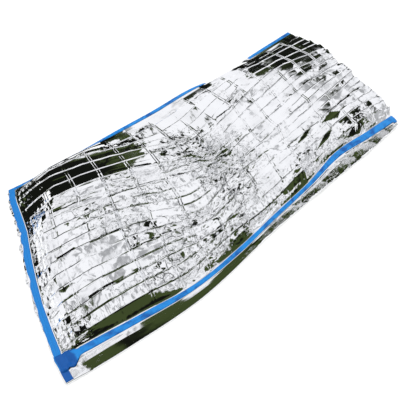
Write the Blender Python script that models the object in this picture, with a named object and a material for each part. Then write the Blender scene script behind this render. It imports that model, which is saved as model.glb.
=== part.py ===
# Emergency foil blanket in its bag form, lying open on a flat surface.
# Two layers of silver film are joined with blue tape along the foot end and both long sides.
# X runs from the foot to the open mouth, Y from the near side to the far side, Z up, in metres.

import math

import bpy
import numpy as np

FILM_THICKNESS = 0.002
TAPE_THICKNESS = 0.0012
TAPE_LIFT = 0.0003
TAPE_HALF_WIDTH = 0.020
# Half the width of the near tape at the stations below: it is creased narrower in its middle.
NEAR_TAPE_HALF = [0.018, 0.017, 0.0115, 0.0115, 0.011, 0.011, 0.0145, 0.017, 0.017]

# The plan's zero is the near foot corner; this brings the middle of the whole to the origin.
MIDDLE_X = 1.0715
MIDDLE_Y = 0.44083

FOLD_RADIUS = 0.005
SEAM_GAP = 0.0006
FOOT_RAMP_START = 0.004
FOOT_RAMP_LENGTH = 0.075
MOUTH_DROP = 0.012
MOUTH_DROP_LENGTH = 0.09

CELL_COLUMNS = 15
STEPS_PER_CELL = 3
STEPS_PER_ROW = 3
PILLOW_HEIGHT = 0.0024
ZIGZAG_HEIGHT = 0.0014
FLOOR_MOUTH_INSET = 0.012
LOWEST_FREE_FILM = 0.008
TAPE_SLOPE_RISE = 0.002

# Extra columns near the ends, as shares of the length between the foot tape and the mouth.
NEAR_FOOT_SHARES = [0.008, 0.020]
FIRST_CELL_SHARE = 0.025
LEG_SHARE = 0.0155

# The long folds of the upper layer, near to far. Each row gives the fold's distance from the
# near side, at the stations along the length, then its height there in millimetres.
STATIONS = [0.12, 0.35, 0.60, 0.85, 1.08, 1.35, 1.58, 1.80, 2.05]
LONG_FOLDS = {
    "near_seam": {
        "place": [0.062, 0.018, -0.016, -0.010, 0.012, 0.033, 0.063, 0.049, 0.038],
        "height": [30, 40, 31, 28, 29, 34, 42, 38, 29],
    },
    "near_brow": {
        "place": [0.112, 0.082, 0.050, 0.060, 0.067, 0.092, 0.116, 0.122, 0.103],
        "height": [50, 74, 50, 56, 46, 60, 59, 74, 48],
    },
    "fold_2": {
        "place": [0.210, 0.183, 0.151, 0.113, 0.155, 0.166, 0.179, 0.202, 0.193],
        "height": [54, 78, 64, 54, 50, 55, 60, 62, 50],
    },
    "fold_3": {
        "place": [0.326, 0.292, 0.244, 0.177, 0.216, 0.244, 0.256, 0.272, 0.289],
        "height": [52, 80, 71, 57, 47, 57, 61, 58, 48],
    },
    "fold_4": {
        "place": [0.448, 0.409, 0.356, 0.245, 0.293, 0.296, 0.305, 0.329, 0.367],
        "height": [52, 81, 74, 60, 44, 58, 62, 60, 47],
    },
    "fold_5": {
        "place": [0.558, 0.508, 0.452, 0.342, 0.351, 0.357, 0.385, 0.414, 0.442],
        "height": [52, 83, 78, 64, 40, 58, 62, 60, 46],
    },
    "fold_6": {
        "place": [0.649, 0.605, 0.543, 0.459, 0.415, 0.437, 0.460, 0.493, 0.508],
        "height": [52, 85, 82, 70, 42, 58, 62, 61, 46],
    },
    "fold_7": {
        "place": [0.698, 0.654, 0.599, 0.503, 0.460, 0.489, 0.522, 0.552, 0.561],
        "height": [52, 87, 86, 75, 50, 59, 62, 62, 48],
    },
    "far_crest": {
        "place": [0.748, 0.710, 0.660, 0.569, 0.500, 0.548, 0.587, 0.622, 0.604],
        "height": [52, 89, 90, 80, 58, 60, 62, 61, 47],
    },
    "fold_9": {
        "place": [0.801, 0.782, 0.731, 0.652, 0.569, 0.603, 0.661, 0.692, 0.664],
        "height": [47, 72, 74, 67, 59, 60, 62, 60, 44],
    },
    "fold_10": {
        "place": [0.843, 0.857, 0.803, 0.715, 0.616, 0.665, 0.732, 0.743, 0.724],
        "height": [41, 56, 59, 54, 55, 57, 60, 52, 38],
    },
    "fold_11": {
        "place": [0.885, 0.890, 0.869, 0.778, 0.744, 0.791, 0.805, 0.802, 0.796],
        "height": [34, 47, 46, 40, 38, 42, 50, 38, 30],
    },
    "far_brow": {
        "place": [0.925, 0.912, 0.905, 0.889, 0.881, 0.885, 0.868, 0.872, 0.880],
        "height": [22, 42, 36, 11, 9, 14, 34, 12, 10],
    },
    "far_edge": {
        "place": [0.962, 0.934, 0.930, 0.928, 0.921, 0.922, 0.888, 0.908, 0.918],
        "height": [5, 5, 5, 5, 5, 5, 5, 5, 5],
    },
}

# Each row again, at its two ends: the foot tape's middle, the film showing past that tape,
# the mouth's cut edge, and the height in millimetres that the row has under the foot tape.
ENDS = {
    "near_seam": (0.011, 0.003, 2.003, 10.5),
    "near_brow": (0.020, 0.006, 2.035, 9.0),
    "fold_2": (0.038, 0.010, 2.070, 7.0),
    "fold_3": (0.063, 0.014, 2.088, 5.4),
    "fold_4": (0.098, 0.018, 2.090, 4.8),
    "fold_5": (0.134, 0.017, 2.130, 4.8),
    "fold_6": (0.166, 0.020, 2.118, 4.8),
    "fold_7": (0.184, 0.016, 2.135, 4.8),
    "far_crest": (0.198, 0.019, 2.150, 4.8),
    "fold_9": (0.212, 0.015, 2.163, 4.8),
    "fold_10": (0.226, 0.018, 2.155, 4.8),
    "fold_11": (0.238, 0.014, 2.150, 4.8),
    "far_brow": (0.250, 0.012, 2.140, 4.8),
    "far_edge": (0.2615, 0.008, 2.135, 4.8),
}

# The near rim of the lower layer, where it lies on the floor, turns up and comes back over.
# Its places across the width are in millimetres.
RIM_STATIONS = [0.0, 0.08, 0.165, 0.295, 0.42, 0.58, 0.775, 0.915, 1.075, 1.21, 1.475, 1.725, 1.88, 1.99]
RIM_PLACES = [0, -14, -26, -41, -55, -65, -56, -42, -30, -25, -18, -15, -7, 0]
RIM_ENDS = (0.003, 0.003, 1.992)
RIM_SLOPE_SHARE = 0.62
RIM_SLOPE_WIDTH_MOST = 0.036
RIM_STEEPNESS = 1.05
RIM_NARROWEST = 0.012
RIM_FLAT_HEIGHT = 0.0102
RIM_BELOW_SEAM = 0.004
RIM_LEAN_MOST = 1.2
RIM_ARC_STEPS = 3

# Crumples: place along and across, half width, height, and the way its ridges run in degrees.
CRUMPLES = [
    (1.08, 0.45, 0.15, 0.0060, 35.0),
    (1.13, 0.36, 0.11, 0.0060, -50.0),
    (0.98, 0.26, 0.10, 0.0040, -20.0),
    (1.20, 0.62, 0.12, 0.0040, 60.0),
    (0.14, 0.16, 0.07, 0.0040, 75.0),
    (0.70, 0.12, 0.08, 0.0035, 50.0),
    (1.60, 0.60, 0.10, 0.0030, 40.0),
    (1.95, 0.15, 0.10, 0.0035, 30.0),
]
CRUMPLE_WAVELENGTH = 0.085

# Tucks: steep little steps that face the near side. Each row gives the crest's two ends along
# and across, the width of the steep face, and the height.
TUCKS = [
    (1.36, 0.160, 1.70, 0.196, 0.030, 0.016),
    (1.38, 0.243, 1.66, 0.264, 0.024, 0.009),
    (1.70, 0.268, 1.83, 0.270, 0.040, 0.022),
    (0.50, 0.278, 0.80, 0.200, 0.022, 0.007),
]
TUCK_BACK = 0.10


def clear_scene():
    """Removes every object of the scene."""
    for item in list(bpy.data.objects):
        bpy.data.objects.remove(item, do_unlink=True)


def smooth_curve(x, stations, values):
    """A smooth curve through the stations, which leaves each on the slope between its neighbours.

    In each gap it is a cubic, and past the last station it runs straight on.
    """
    stations = np.asarray(stations, float)
    values = np.asarray(values, float)
    slopes = np.gradient(values, stations)
    gap_index = np.clip(np.searchsorted(stations, x) - 1, 0, len(stations) - 2)
    gap = stations[gap_index + 1] - stations[gap_index]
    inside = np.clip(x, stations[0], stations[-1])
    f = (inside - stations[gap_index]) / gap
    start = (1 + 2 * f) * values[gap_index] + f * gap * slopes[gap_index]
    end = (3 - 2 * f) * values[gap_index + 1] - (1 - f) * gap * slopes[gap_index + 1]
    before = np.minimum(x - stations[0], 0) * slopes[0]
    after = np.maximum(x - stations[-1], 0) * slopes[-1]
    return start * (1 - f) ** 2 + end * f**2 + before + after


def within_stations(x):
    """The places along the length, held between the first station and the last."""
    return np.clip(x, STATIONS[0], STATIONS[-1])


def ease(f):
    """Goes from 0 to 1 with level ends."""
    f = np.clip(f, 0, 1)
    return f * f * (3 - 2 * f)


def column_shares():
    """The columns' places from the foot tape's inner edge (0) to the mouth (1)."""
    cells = np.arange(1, CELL_COLUMNS * STEPS_PER_CELL) / (CELL_COLUMNS * STEPS_PER_CELL)
    cells = cells[cells > FIRST_CELL_SHARE]
    return np.concatenate([[0.0], NEAR_FOOT_SHARES, cells, [1 - LEG_SHARE, 1.0]])


SHARES = column_shares()
FOOT_COLUMNS = 3
COLUMNS = FOOT_COLUMNS + len(SHARES)


def row_x(tape_middle, flap, mouth):
    """Where the columns of one row lie along the length."""
    inner = tape_middle + TAPE_HALF_WIDTH
    foot = [tape_middle - TAPE_HALF_WIDTH - flap, tape_middle - TAPE_HALF_WIDTH, tape_middle]
    return np.concatenate([foot, inner + SHARES * (mouth - inner)])


def foot_rise(x, tape_middle):
    """0 under the foot tape, rising to 1 where the bag stands at its full height."""
    from_tape = x - (tape_middle + TAPE_HALF_WIDTH)
    return ease((from_tape - FOOT_RAMP_START) / FOOT_RAMP_LENGTH)


def mouth_fall(x, mouth):
    """How much the film sinks toward its cut edge at the mouth."""
    return MOUTH_DROP * ease((x - (mouth - MOUTH_DROP_LENGTH)) / MOUTH_DROP_LENGTH)


def crumple(x, y):
    """Irregular small ridges around the crumpled places."""
    total = np.zeros_like(x)
    for number, (at_x, at_y, half_width, height, angle) in enumerate(CRUMPLES):
        near = np.exp(-((x - at_x) ** 2 + (y - at_y) ** 2) / half_width**2)
        turn = math.radians(angle)
        along = (x - at_x) * math.cos(turn) + (y - at_y) * math.sin(turn)
        across = (y - at_y) * math.cos(turn) - (x - at_x) * math.sin(turn)
        phase = 2.1 * number + 0.9 * np.sin(across / CRUMPLE_WAVELENGTH * 3.1 + number)
        ridge = 1 - np.abs(((along / CRUMPLE_WAVELENGTH + phase) % 2) - 1) * 2
        total += height * near * ridge
    return total


def tucks(x, y):
    """Steps with a steep near face and a long gentle back."""
    total = np.zeros_like(x)
    for x0, y0, x1, y1, width, height in TUCKS:
        length = math.hypot(x1 - x0, y1 - y0)
        along = ((x - x0) * (x1 - x0) + (y - y0) * (y1 - y0)) / length**2
        across = ((y - y0) * (x1 - x0) - (x - x0) * (y1 - y0)) / length
        fade = ease(along / 0.3) * ease((1 - along) / 0.3)
        front = np.clip(1 + across / width, 0, 1)
        back = np.clip(1 - across / TUCK_BACK, 0, 1)
        total += height * fade * front * back
    return total


def upper_rows():
    """Points of the upper layer's top surface: a row for each long fold, and the steps between."""
    names = list(LONG_FOLDS)
    fold_lines = []
    for name in names:
        fold = LONG_FOLDS[name]
        middle, flap, mouth, foot_height = ENDS[name]
        x = row_x(middle, flap, mouth)
        y = smooth_curve(x, STATIONS, fold["place"])
        full = smooth_curve(within_stations(x), STATIONS, fold["height"]) / 1000
        rise = foot_rise(x, middle)
        low = foot_height / 1000
        z = low + (full - low) * rise
        if name not in ("near_seam", "far_edge"):
            z = z - np.minimum(mouth_fall(x, mouth), np.maximum(z - LOWEST_FREE_FILM, 0))
        fold_lines.append(np.stack([x, y, z], axis=1))
        if name == "near_seam":
            half = smooth_curve(within_stations(x), STATIONS, NEAR_TAPE_HALF)
            fold_lines.append(np.stack([x, y + half, z + TAPE_SLOPE_RISE * rise], axis=1))
    rows = [fold_lines[0]]
    kinds = [0.0]
    for k in range(1, len(fold_lines)):
        steps = 1 if k == 1 else STEPS_PER_ROW
        for step in range(1, steps + 1):
            f = step / steps
            rows.append(fold_lines[k - 1] * (1 - f) + fold_lines[k] * f)
            kinds.append(k - 1 + f)
    grid = np.array(rows)
    place = np.array(kinds)[:, None]
    share = np.concatenate([np.zeros(FOOT_COLUMNS), SHARES])[None, :]
    cells = share * CELL_COLUMNS
    inside_row = 4 * (place % 1) * (1 - place % 1)
    inside_cell = 4 * (cells % 1) * (1 - cells % 1)
    free = ease((share - 0.01) / 0.05) * ease((place - 1.5) / 0.8) * ease((12.8 - place) / 0.8)
    pillow = PILLOW_HEIGHT * np.sqrt(inside_row * inside_cell)
    zigzag = ZIGZAG_HEIGHT * np.cos(math.pi * place) * np.cos(math.pi * cells)
    small = crumple(grid[:, :, 0], grid[:, :, 1]) + tucks(grid[:, :, 0], grid[:, :, 1])
    grid[:, :, 2] += free * (pillow + zigzag + small)
    return grid


def rim_rows(seam):
    """Outer surface of the lower layer from the floor round the near rim to the near seam."""
    middle, flap, mouth = RIM_ENDS
    x = row_x(middle, flap, mouth)
    places = smooth_curve(x, RIM_STATIONS, RIM_PLACES) / 1000
    seam_y = seam[:, 1] - SEAM_GAP
    seam_z = seam[:, 2]
    tape_half = smooth_curve(within_stations(x), STATIONS, NEAR_TAPE_HALF)
    width = seam_y - tape_half - places
    slope_width = np.minimum(RIM_SLOPE_SHARE * np.maximum(width, RIM_NARROWEST), RIM_SLOPE_WIDTH_MOST)
    rise = foot_rise(x, middle)
    full_height = np.minimum(RIM_STEEPNESS * slope_width, seam_z - RIM_BELOW_SEAM)
    top_z = RIM_FLAT_HEIGHT + (full_height - RIM_FLAT_HEIGHT) * rise
    target = np.stack([slope_width - FOLD_RADIUS, top_z - FOLD_RADIUS])
    reach = np.hypot(*target)
    bend = np.arcsin(FOLD_RADIUS / np.maximum(reach, FOLD_RADIUS * 1.02))
    lean = np.arctan2(target[1], target[0]) - bend
    last = math.pi / 2 + np.clip(lean, 0.0, RIM_LEAN_MOST)
    first = 1.5 * math.pi
    rows = []
    for step in range(RIM_ARC_STEPS + 1):
        angle = first + (last - first) * step / RIM_ARC_STEPS
        fold_y = places + FOLD_RADIUS * (1 + np.cos(angle))
        fold_z = FOLD_RADIUS * (1 + np.sin(angle))
        rows.append((fold_y, fold_z))
    bottom_y, bottom_z = rows[-1]
    top_y = places + slope_width
    rows.append(((bottom_y + top_y) / 2, (bottom_z + top_z) / 2))
    rows.append((top_y, top_z))
    rows.append((seam_y - tape_half, seam_z - TAPE_SLOPE_RISE * rise))
    rows.append((seam_y, seam_z))
    count = len(rows)
    points = np.zeros((count, COLUMNS, 3))
    for number, (y, z) in enumerate(rows):
        toward_seam = number / (count - 1)
        points[number, :, 0] = x + (seam[:, 0] - x) * toward_seam**2
        points[number, :, 1] = y
        points[number, :, 2] = np.maximum(z, 0)
    return points


def floor_rows(upper):
    """The flat part of the lower layer, from the far edge to the near fold."""
    chosen = [len(upper) - 1 - STEPS_PER_ROW * folds for folds in (0, 2, 4, 6, 8, 10, 12)]
    rows = upper[chosen].copy()
    share = np.concatenate([np.zeros(FOOT_COLUMNS), SHARES])
    rows[:, :, 0] -= FLOOR_MOUTH_INSET * ease((share - 0.9) / 0.1)
    rows[:, :, 2] = 0
    return rows


def grid_normals(grid):
    """Directions at right angles to a grid of points, upward where the rows run to the far side."""
    along = np.gradient(grid, axis=1)
    across = np.gradient(grid, axis=0)
    normals = np.cross(along, across)
    return normals / np.linalg.norm(normals, axis=2, keepdims=True)


def principled(name, colour, metallic, roughness):
    """A plain surface with one colour."""
    made = bpy.data.materials.new(name)
    made.use_nodes = True
    shader = made.node_tree.nodes["Principled BSDF"]
    shader.inputs["Base Color"].default_value = (*colour, 1.0)
    shader.inputs["Metallic"].default_value = metallic
    shader.inputs["Roughness"].default_value = roughness
    return made


def sheet(name, grid, used, thickness, outward, material):
    """A sheet of even thickness on the used cells of a grid.

    outward is 1 where it grows above the grid, and -1 where it grows below it.
    """
    rows, columns = grid.shape[:2]
    faces = []
    for i in range(rows - 1):
        for j in range(columns - 1):
            if used(i, j):
                a = i * columns + j
                b, c, d = a + 1, a + columns + 1, a + columns
                faces.append((a, b, c))
                faces.append((a, c, d))
    kept = sorted({corner for face in faces for corner in face})
    number = {corner: place for place, corner in enumerate(kept)}
    points = grid.reshape(-1, 3)[kept] - np.array([MIDDLE_X, MIDDLE_Y, 0.0])
    mesh = bpy.data.meshes.new(name)
    mesh.from_pydata(points.tolist(), [], [tuple(number[corner] for corner in face) for face in faces])
    mesh.update()
    item = bpy.data.objects.new(name, mesh)
    bpy.context.scene.collection.objects.link(item)
    item.data.materials.append(material)
    solid = item.modifiers.new("thickness", "SOLIDIFY")
    solid.thickness = thickness
    solid.offset = outward
    solid.use_even_offset = False
    solid.use_rim = True
    return item


clear_scene()

film = principled("top_film", (0.86, 0.87, 0.88), 1.0, 0.16)
film_under = principled("bottom_film", (0.80, 0.81, 0.83), 1.0, 0.20)
tape_foot = principled("foot_tape", (0.012, 0.19, 0.70), 0.0, 0.38)
tape_near = principled("near_tape", (0.018, 0.24, 0.80), 0.0, 0.36)
tape_far = principled("far_tape", (0.030, 0.30, 0.82), 0.0, 0.36)

upper = upper_rows()
rim = rim_rows(upper[0])
lower = np.concatenate([floor_rows(upper), rim])
outside = np.concatenate([rim[RIM_ARC_STEPS:], upper[1:]])
lifted = outside + grid_normals(outside) * TAPE_LIFT

STRIP_ROW = 3
NEAR_TAPE_ROWS = (STRIP_ROW, STRIP_ROW + 1)
FAR_TAPE_START = len(outside) - 1 - STEPS_PER_ROW
LEG_COLUMN = COLUMNS - 2
FIRST_TAPE_COLUMN = 4


def whole(i, j):
    """Every cell."""
    return True


def under_near_tape(i, j):
    """The cells on both sides of the near seam, and those down the rim at the mouth corner."""
    on_seam = i in NEAR_TAPE_ROWS and j >= FIRST_TAPE_COLUMN
    on_leg = i < STRIP_ROW and j >= LEG_COLUMN
    return on_seam or on_leg


def under_foot_tape(i, j):
    """The cells on both sides of the foot tape's middle."""
    return j in (1, 2)


def under_far_tape(i, j):
    """The cells between the far brow and the far edge."""
    return i >= FAR_TAPE_START and j >= FIRST_TAPE_COLUMN


sheet("top_panel", upper, whole, FILM_THICKNESS, -1, film)
sheet("bottom_panel", lower, whole, FILM_THICKNESS, -1, film_under)
sheet("near_tape", lifted, under_near_tape, TAPE_THICKNESS, 1, tape_near)
sheet("foot_tape", lifted, under_foot_tape, TAPE_THICKNESS, 1, tape_foot)
sheet("far_tape", lifted, under_far_tape, TAPE_THICKNESS, 1, tape_far)
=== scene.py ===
# %% [markdown]
# A foil blanket in its bag form is two layers of silver film, taped together on three sides.
# Film of this kind has no colour of its own: nearly all that the eye reads on it is the room,
# mirrored in folds. So this lesson spends its effort on folds, and on a room worth mirroring.
# The imported model comes in first. Sizes below are in metres, or in millimetres where a
# comment says so.

# %% The imported model
import math

import bpy
import numpy as np
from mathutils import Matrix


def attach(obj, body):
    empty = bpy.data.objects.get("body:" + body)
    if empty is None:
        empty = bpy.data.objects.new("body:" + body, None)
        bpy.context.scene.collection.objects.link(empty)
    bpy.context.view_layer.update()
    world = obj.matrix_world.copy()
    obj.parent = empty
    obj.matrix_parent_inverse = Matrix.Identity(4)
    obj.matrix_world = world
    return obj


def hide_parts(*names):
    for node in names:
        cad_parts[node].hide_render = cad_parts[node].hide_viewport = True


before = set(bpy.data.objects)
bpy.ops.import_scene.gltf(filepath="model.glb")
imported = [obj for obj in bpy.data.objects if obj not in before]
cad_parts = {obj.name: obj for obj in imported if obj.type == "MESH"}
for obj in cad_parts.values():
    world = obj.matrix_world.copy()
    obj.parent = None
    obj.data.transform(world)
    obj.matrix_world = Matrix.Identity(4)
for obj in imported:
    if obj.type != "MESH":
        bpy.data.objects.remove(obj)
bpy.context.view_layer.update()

# %% [markdown]
# The folds are easiest to write down from the near foot corner, along the length (X) and
# across the width (Y). The model has its middle at the origin instead, so every finished
# point moves by the same amount at the very end.

# %% From the near foot corner to the model's frame
MIDDLE = np.array([1.0715, 0.44083, 0.0])


def to_frame(points):
    """Each point, less the place of the model's middle."""
    return points - MIDDLE


def new_object(name, data):
    """An object for a camera, a lamp or a mesh, at the origin and in the scene."""
    made = bpy.data.objects.new(name, data)
    bpy.context.scene.collection.objects.link(made)
    return made


print("middle", MIDDLE)

# %% [markdown]
# The photograph was taken from the foot corner, standing, looking steeply down. A camera is
# placed by its height, its pitch below level and its heading over the plan. The lens is 43 mm
# on a 36 mm frame, which suits the way the far side shrinks.

# %% The camera
CAMERA_PLACE = np.array([0.0686, -0.6631, 1.8391])
HEADING = np.array([0.6499, 0.7600])
PITCH_DOWN = 55.0
LENS = 43.2
SENSOR_WIDTH = 36.0


def place_camera():
    """Aims a camera along the heading, pitched below level."""
    lens = bpy.data.cameras.new("studio_camera")
    lens.lens = LENS
    lens.sensor_width = SENSOR_WIDTH
    camera = new_object("studio_camera", lens)
    camera.location = to_frame(CAMERA_PLACE)
    turn = -math.atan2(HEADING[0], HEADING[1])
    camera.rotation_euler = (math.radians(90.0 - PITCH_DOWN), 0.0, turn)
    bpy.context.scene.camera = camera
    return camera


camera = place_camera()
bpy.context.scene.view_settings.view_transform = "Standard"
print("camera at", tuple(round(value, 3) for value in camera.location))

# %% [markdown]
# Shader nodes can be added one by one, but long sums soon get hard to read. The small class
# below wraps a socket, so that a sum written in Python adds its Math nodes by itself. A second
# class makes every other node from its type, its settings and its inputs.

# %% Shader sums written as Python
class Level:
    """A number that changes over a surface, with the operators that add Math nodes."""

    def __init__(self, bench, socket):
        self.bench = bench
        self.socket = socket

    def sum_node(self, operation, first, second):
        """One Math node on two numbers, either of which may be a socket."""
        made = self.bench.node("ShaderNodeMath", {"operation": operation}, {0: first, 1: second})
        return Level(self.bench, made.outputs[0])

    def __add__(self, other):
        return self.sum_node("ADD", self, other)

    def __radd__(self, other):
        return self.sum_node("ADD", other, self)

    def __sub__(self, other):
        return self.sum_node("SUBTRACT", self, other)

    def __rsub__(self, other):
        return self.sum_node("SUBTRACT", other, self)

    def __mul__(self, other):
        return self.sum_node("MULTIPLY", self, other)

    def __rmul__(self, other):
        return self.sum_node("MULTIPLY", other, self)

    def held(self, low, high):
        """The number turned into 0 at low and 1 at high, with level ends."""
        inputs = {"Value": self, "From Min": low, "From Max": high}
        settings = {"interpolation_type": "SMOOTHSTEP"}
        made = self.bench.node("ShaderNodeMapRange", settings, inputs)
        return Level(self.bench, made.outputs["Result"])


class Bench:
    """Makes the nodes of one material or world."""

    def __init__(self, tree):
        self.tree = tree

    def node(self, kind, settings=None, inputs=None):
        """A node of a kind, its settings set first, then the values or links of its sockets."""
        made = self.tree.nodes.new(kind)
        for name, value in (settings or {}).items():
            setattr(made, name, value)
        for name, value in (inputs or {}).items():
            self.feed(made.inputs[name], value)
        return made

    def feed(self, socket, value):
        """Links a socket to a level or another socket, or sets its plain value."""
        if isinstance(value, Level):
            self.tree.links.new(value.socket, socket)
        elif isinstance(value, bpy.types.NodeSocket):
            self.tree.links.new(value, socket)
        else:
            socket.default_value = value

    def blend(self, amount, first, second):
        """A colour between two, by an amount from 0 to 1."""
        inputs = {"Factor": amount, 6: first, 7: second}
        return self.node("ShaderNodeMix", {"data_type": "RGBA"}, inputs).outputs[2]

    def along(self, direction, axis):
        """How far a direction points along an axis, from -1 to 1."""
        settings = {"operation": "DOT_PRODUCT"}
        made = self.node("ShaderNodeVectorMath", settings, {0: direction, 1: axis})
        return Level(self, made.outputs["Value"])

    def vector(self, operation, inputs):
        """A vector worked out from the inputs of one Vector Math node."""
        return self.node("ShaderNodeVectorMath", {"operation": operation}, inputs).outputs[0]

    def noise(self, place, scale, detail):
        """Soft noise around one half, finer with a larger scale."""
        inputs = {"Vector": place, "Scale": scale, "Detail": detail}
        return Level(self, self.node("ShaderNodeTexNoise", {}, inputs).outputs["Fac"])

    def mapped(self, place, **change):
        """A place moved, turned or scaled."""
        return self.node("ShaderNodeMapping", {}, {"Vector": place, **change}).outputs[0]

    def flat_map(self):
        """Places on the flat film, in metres."""
        return self.node("ShaderNodeUVMap", {"uv_map": "flat_cut"}).outputs["UV"]

    def carried(self, name):
        """A value that the mesh carries at each of its points."""
        made = self.node("ShaderNodeAttribute", {"attribute_name": name})
        return Level(self, made.outputs["Fac"])

    def bumped(self, inputs):
        """A normal tipped by a height."""
        return self.node("ShaderNodeBump", {}, inputs).outputs["Normal"]


def new_finish(name, constants):
    """A material with some constants set, the bench for its nodes, and its shader's sockets."""
    made = bpy.data.materials.new(name)
    made.use_nodes = True
    sockets = made.node_tree.nodes["Principled BSDF"].inputs
    for socket, value in constants.items():
        sockets[socket].default_value = value
    return made, Bench(made.node_tree), sockets


print("bench ready")

# %% [markdown]
# The room does most of the work here. Overhead hangs one wide white softbox, tilted a little
# to the far side, so level film mirrors pure white. Below its rim the room is dark: olive in
# the upper part, nearly black near the floor. A tilted cap is the simplest softbox: a direction
# is inside it where up, plus a share of ahead, passes a limit. Around the rim the limit rises
# and falls. A window ahead and two bright sides reach further down, and the far side, the near
# side and a wing right of the window stay dark higher up. Thin clouds of grey drift over the
# white, so that some cells of the film look silver and not like paper.

# %% The room that the film mirrors
def compass(degrees):
    """A level direction, turned from the length towards the far side."""
    turn = math.radians(degrees)
    return (math.cos(turn), math.sin(turn), 0.0)


UP = (0.0, 0.0, 1.0)
AHEAD = (float(HEADING[0]), float(HEADING[1]), 0.0)

# Parts of the room: the direction each one lies in, and how nearly a mirrored ray has to point
# that way where the part begins, and where it counts in full.
ROOM_PARTS = {
    "in_front": (AHEAD, 0.3, 0.6),
    "window_starts": (compass(143.0), -0.10, -0.03),
    "window_ends": (compass(143.0), 0.185, 0.215),
    "wing_starts": (compass(-37.0), 0.06, 0.12),
    "wing_ends": (compass(-37.0), 0.38, 0.45),
    "far_side": (compass(95.0), 0.68, 0.74),
    "near_side": (compass(262.0), 0.28, 0.40),
    "right_ends": (compass(262.0), 0.47, 0.53),
    "left": (compass(165.0), 0.71, 0.80),
    "right": (compass(-15.0), 0.60, 0.68),
    "blackest": (compass(105.0), 0.74, 0.82),
    "black_near": (compass(250.0), 0.66, 0.82),
    "near_white": ((-0.044, 0.498, 0.866), 0.84, 0.95),
    "right_white": ((0.624, 0.332, 0.707), 0.90, 0.98),
    "patchy": ((0.293, 0.326, 0.899), 0.86, 0.96),
}
SOFTBOX_TILT = 0.278
SOFTBOX_LIMIT = 0.688
SOFTBOX_EDGE = 0.026
FAR_SIDE_DROP = 0.17
NEAR_SIDE_DROP = 0.26
WINDOW_RISE = 0.22
LEFT_RISE = 0.80
RIGHT_RISE = 0.60
RIGHT_WING_DROP = 0.09
OLIVE_PATCHES = (3.1, 2.0)
OLIVE_ABOVE = (0.38, 0.62)
CLOUDS = (6.0, 1.0)
CLOUD_EDGE = (0.44, 0.60)
WHITE = (1.0, 1.0, 1.02, 1.0)
PATCH_GREY = (0.40, 0.405, 0.415, 1.0)
OLIVE = (0.052, 0.072, 0.024, 1.0)
NEARLY_BLACK = (0.007, 0.008, 0.006, 1.0)
ROOM_STRENGTH = 1.00


def hang_room():
    """White with grey clouds inside the tilted cap; olive, then black, below its uneven rim."""
    room = bpy.data.worlds.new("studio_room")
    bpy.context.scene.world = room
    room.use_nodes = True
    room.node_tree.nodes.clear()
    bench = Bench(room.node_tree)
    direction = bench.node("ShaderNodeTexCoord").outputs["Generated"]
    part = {
        name: bench.along(direction, axis).held(low, high)
        for name, (axis, low, high) in ROOM_PARTS.items()
    }
    window = part["window_starts"] * (1 - part["window_ends"]) * part["in_front"]
    right_wing = part["wing_starts"] * (1 - part["wing_ends"]) * part["in_front"]
    far_side = part["far_side"] * (1 - window)
    right = part["right"] * (1 - part["right_ends"])
    raised = window * WINDOW_RISE + part["left"] * LEFT_RISE + right * RIGHT_RISE
    lowered = far_side * FAR_SIDE_DROP + part["near_side"] * NEAR_SIDE_DROP
    lowered = lowered + right_wing * RIGHT_WING_DROP
    up = bench.along(direction, UP)
    depth = up + bench.along(direction, AHEAD) * SOFTBOX_TILT - SOFTBOX_LIMIT + raised - lowered
    inside = depth.held(-SOFTBOX_EDGE, SOFTBOX_EDGE)

    blacker = part["blackest"] * 0.4 + part["black_near"] * 0.35 + right_wing * 0.2
    olive_share = (up + bench.noise(direction, *OLIVE_PATCHES) * 0.4 - blacker).held(*OLIVE_ABOVE)
    dark = bench.blend(olive_share, NEARLY_BLACK, OLIVE)
    plain = part["near_white"] * 0.6 + part["right_white"] * 0.7 + window + part["left"] * 0.3
    cloud = bench.noise(direction, *CLOUDS) + 0.05 - part["patchy"] * 0.05
    whiter = (cloud + plain.held(0.0, 1.0) * 0.15).held(*CLOUD_EDGE)
    light = bench.blend(whiter, PATCH_GREY, WHITE)

    colour = bench.blend(inside, dark, light)
    shown = {"Color": colour, "Strength": ROOM_STRENGTH}
    background = bench.node("ShaderNodeBackground", {}, shown)
    bench.node("ShaderNodeOutputWorld", {}, {"Surface": background.outputs[0]})
    return len(room.node_tree.nodes)


LAMP_STRENGTH = 1.75
LAMP_WIDTH = 120.0


def hang_lamp():
    """A very wide soft lamp overhead, for the tape and the floor, which mirrors leave out."""
    bulb = bpy.data.lights.new("overhead_lamp", "SUN")
    bulb.energy = LAMP_STRENGTH
    bulb.angle = math.radians(LAMP_WIDTH)
    lamp = new_object("overhead_lamp", bulb)
    lamp.visible_glossy = False
    return lamp


print("room of", hang_room(), "nodes and", hang_lamp().name)

# %% [markdown]
# The floor is a plain white sheet that runs far out, because steep folds mirror it. It glows a
# little, as an overexposed studio sweep does, so it stays white under the dark parts of the
# room. It isn't part of the blanket: it is stage.

# %% The floor
FLOOR_HALF = 40.0
FLOOR_DROP = 0.0004
FLOOR_FINISH = {
    "Base Color": (0.86, 0.86, 0.86, 1.0),
    "Roughness": 0.9,
    "Specular IOR Level": 0.0,
    "Emission Color": (1.0, 1.0, 1.0, 1.0),
    "Emission Strength": 0.22,
}


def lay_floor():
    """One large flat square just under the blanket."""
    corners = [(-1, -1), (1, -1), (1, 1), (-1, 1)]
    points = [(x * FLOOR_HALF, y * FLOOR_HALF, -FLOOR_DROP) for x, y in corners]
    mesh = bpy.data.meshes.new("studio_floor")
    mesh.from_pydata(points, [], [(0, 1, 2, 3)])
    mesh.materials.append(new_finish("floor_white", FLOOR_FINISH)[0])
    floor = new_object("studio_floor", mesh)
    return floor


lay_floor()
print("floor laid", FLOOR_HALF * 2, "metres wide")

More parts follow.
